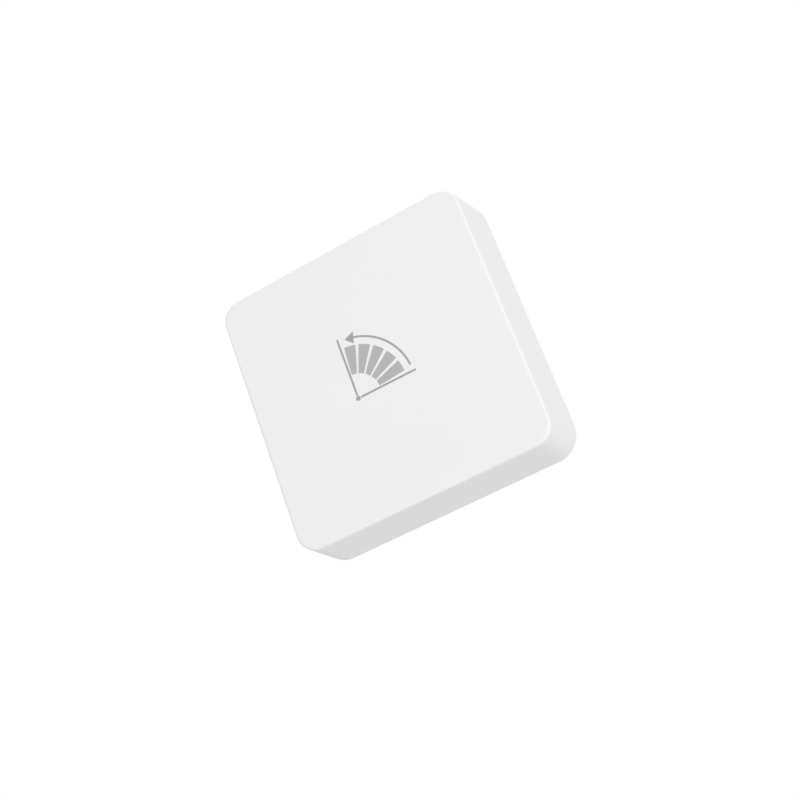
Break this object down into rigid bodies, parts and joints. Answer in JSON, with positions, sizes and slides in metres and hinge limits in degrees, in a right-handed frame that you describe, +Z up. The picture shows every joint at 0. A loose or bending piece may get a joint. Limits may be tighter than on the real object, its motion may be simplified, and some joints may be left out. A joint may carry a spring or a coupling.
{
  "type": "garage door tilt sensor",
  "caption": "Flat rounded square wireless tilt sensor for a garage door: white push-fit housing over a door plate, with cells, circuit board and ball tilt switch inside.",
  "frame": {"origin": "centre of the foam tape's outer face, where the sensor meets the closed door", "axes": "+Y into the door, +Z up the closed door, +X to the right seen from the front"},
  "size_m": [0.062, 0.0155, 0.062],
  "materials": {
    "shell_white": "matte",
    "frame_plastic": "matte",
    "cover_white": "matte",
    "foam_tape": "matte",
    "cell_sleeve": "satin",
    "nickel_contact": "satin",
    "spring_steel": "satin",
    "screw_steel": "satin",
    "board_green": "satin",
    "radio_board": "satin",
    "shield_tin": "satin",
    "antenna_gold": "satin",
    "tilt_can_metal": "satin",
    "ball_metal": "polished",
    "black_plastic": "matte",
    "chip_ceramic": "satin",
    "capacitor_can": "satin",
    "led_resin": "gloss",
    "button_grey": "matte",
    "pin_metal": "satin",
    "lead_red": "satin",
    "lead_black": "satin"
  },
  "bodies": {
    "door_plate": {"rear_cover": "cover_white", "cover_snap_arms": "cover_white", "adhesive_pad": "foam_tape"},
    "housing": {"front_shell": "shell_white", "inner_frame": "frame_plastic", "circuit_board": "board_green", "radio_module_board": "radio_board", "radio_shield_can": "shield_tin", "antenna_trace": "antenna_gold", "tilt_switch_can": "tilt_can_metal", "tilt_switch_base": "black_plastic", "tilt_switch_pins": "pin_metal", "tilt_switch_cradle": "black_plastic", "tact_switch_body": "black_plastic", "tact_switch_frame": "pin_metal", "status_led": "led_resin", "bulk_capacitor": "capacitor_can", "chip_components": "chip_ceramic", "battery_lower": "cell_sleeve", "battery_upper": "cell_sleeve", "positive_contact": "nickel_contact", "negative_contact": "nickel_contact", "bridge_contact": "nickel_contact", "negative_spring": "spring_steel", "bridge_spring": "spring_steel", "lead_red": "lead_red", "lead_black": "lead_black", "frame_screws": "screw_steel", "board_screws": "screw_steel"},
    "pairing_button": {"pairing_button": "button_grey", "tact_plunger": "black_plastic"},
    "tilt_balls": {"tilt_balls": "ball_metal"}
  },
  "joints": [
    {"name": "housing_pull", "type": "slide", "parent": "door_plate", "child": "housing", "axis": [0, -1, 0], "range_m": [0, 0.03], "deforming": ["cover_snap_arms"]},
    {"name": "button_press", "type": "slide", "parent": "housing", "child": "pairing_button", "axis": [0, -1, 0], "range_m": [0, 0.0003], "stiffness_N_per_m": 5000},
    {"name": "balls_roll", "type": "slide", "parent": "housing", "child": "tilt_balls", "axis": [0, -0.2588, 0.9659], "range_m": [0, 0.002]}
  ]
}
